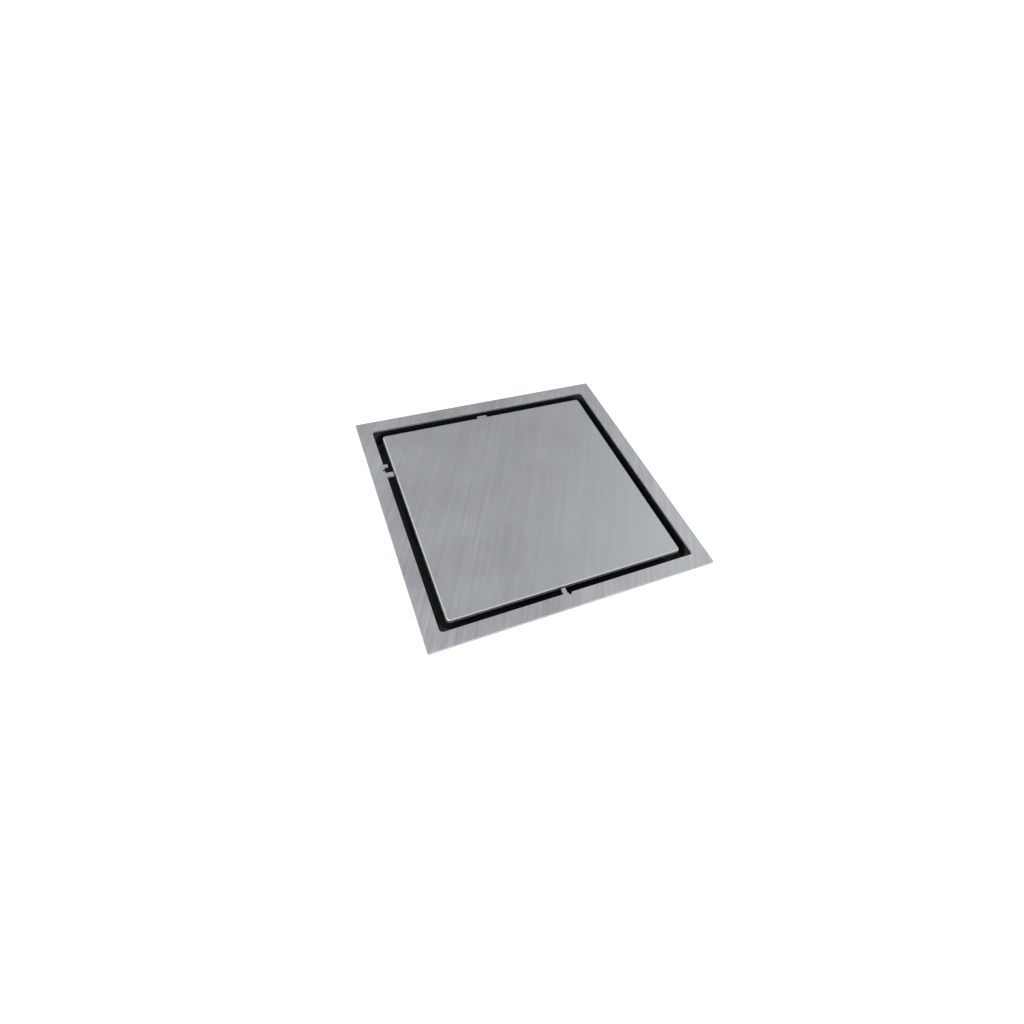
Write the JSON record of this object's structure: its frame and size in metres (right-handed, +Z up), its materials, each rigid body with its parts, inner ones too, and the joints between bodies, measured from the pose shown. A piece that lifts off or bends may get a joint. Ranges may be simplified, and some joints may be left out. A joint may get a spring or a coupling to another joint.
{
  "type": "floor drain grate",
  "caption": "Square stainless floor drain with a flat solid lift-out cover, a narrow water slot all round, a strainer, a sprung odour trap and a round outlet.",
  "frame": {"origin": "centre of the bounding box's underside, which is the middle of the outlet tailpiece's end face", "axes": "+Z up through the outlet to the cover's top face; +X to the right and +Y to the far side, along the frame's edges, with the cover's tongue on the +Y side"},
  "size_m": [0.15, 0.15, 0.084],
  "materials": {
    "brushed_frame": "brushed along the diagonal, satin",
    "brushed_cover": "fine satin",
    "pressed_steel": "bright pressed sheet",
    "fastener_steel": "satin",
    "spring_steel": "bright drawn wire",
    "black_plastic": "fine moulded texture",
    "grey_plastic": "moulded, slightly glossy",
    "white_plastic": "moulded, satin gloss",
    "black_rubber": "matt",
    "seal_rubber": "matt silicone",
    "bond_foam": "closed-cell foam"
  },
  "bodies": {
    "drain_body": {"top_frame": "brushed_frame", "frame_gasket": "black_rubber", "gully_tray": "black_plastic", "outlet_tailpiece": "grey_plastic", "union_washer": "black_rubber", "union_nut": "black_plastic", "frame_stud_1": "fastener_steel", "frame_stud_2": "fastener_steel", "frame_stud_3": "fastener_steel", "frame_stud_4": "fastener_steel", "frame_washer_1": "fastener_steel", "frame_washer_2": "fastener_steel", "frame_washer_3": "fastener_steel", "frame_washer_4": "fastener_steel", "frame_nut_1": "fastener_steel", "frame_nut_2": "fastener_steel", "frame_nut_3": "fastener_steel", "frame_nut_4": "fastener_steel"},
    "odour_trap": {"core_sleeve": "white_plastic", "core_o_ring_1": "black_rubber", "core_o_ring_2": "black_rubber"},
    "valve": {"valve_stem": "fastener_steel", "valve_plate": "white_plastic", "valve_gasket": "seal_rubber", "valve_nut": "fastener_steel", "spring_cap": "fastener_steel", "valve_spring": "spring_steel"},
    "strainer": {"strainer_basket": "pressed_steel", "strainer_knob": "pressed_steel", "knob_screw": "fastener_steel"},
    "cover": {"cover_plate": "brushed_cover", "bond_pad": "bond_foam", "cover_carrier": "black_plastic", "cover_foot_1": "black_rubber", "cover_foot_2": "black_rubber", "cover_foot_3": "black_rubber", "cover_foot_4": "black_rubber"}
  },
  "joints": [
    {"name": "trap_lift", "type": "slide", "parent": "drain_body", "child": "odour_trap", "axis": [0, 0, 1], "range_m": [0, 0.08]},
    {"name": "valve_travel", "type": "slide", "parent": "odour_trap", "child": "valve", "axis": [0, 0, -1], "range_m": [0, 0.008], "stiffness_N_per_m": 100, "springref_m": -0.004, "deforming": ["valve_spring"]},
    {"name": "strainer_lift", "type": "slide", "parent": "odour_trap", "child": "strainer", "axis": [0, 0, 1], "range_m": [0, 0.03]},
    {"name": "cover_lift", "type": "slide", "parent": "strainer", "child": "cover", "axis": [0, 0, 1], "range_m": [0, 0.06]}
  ]
}
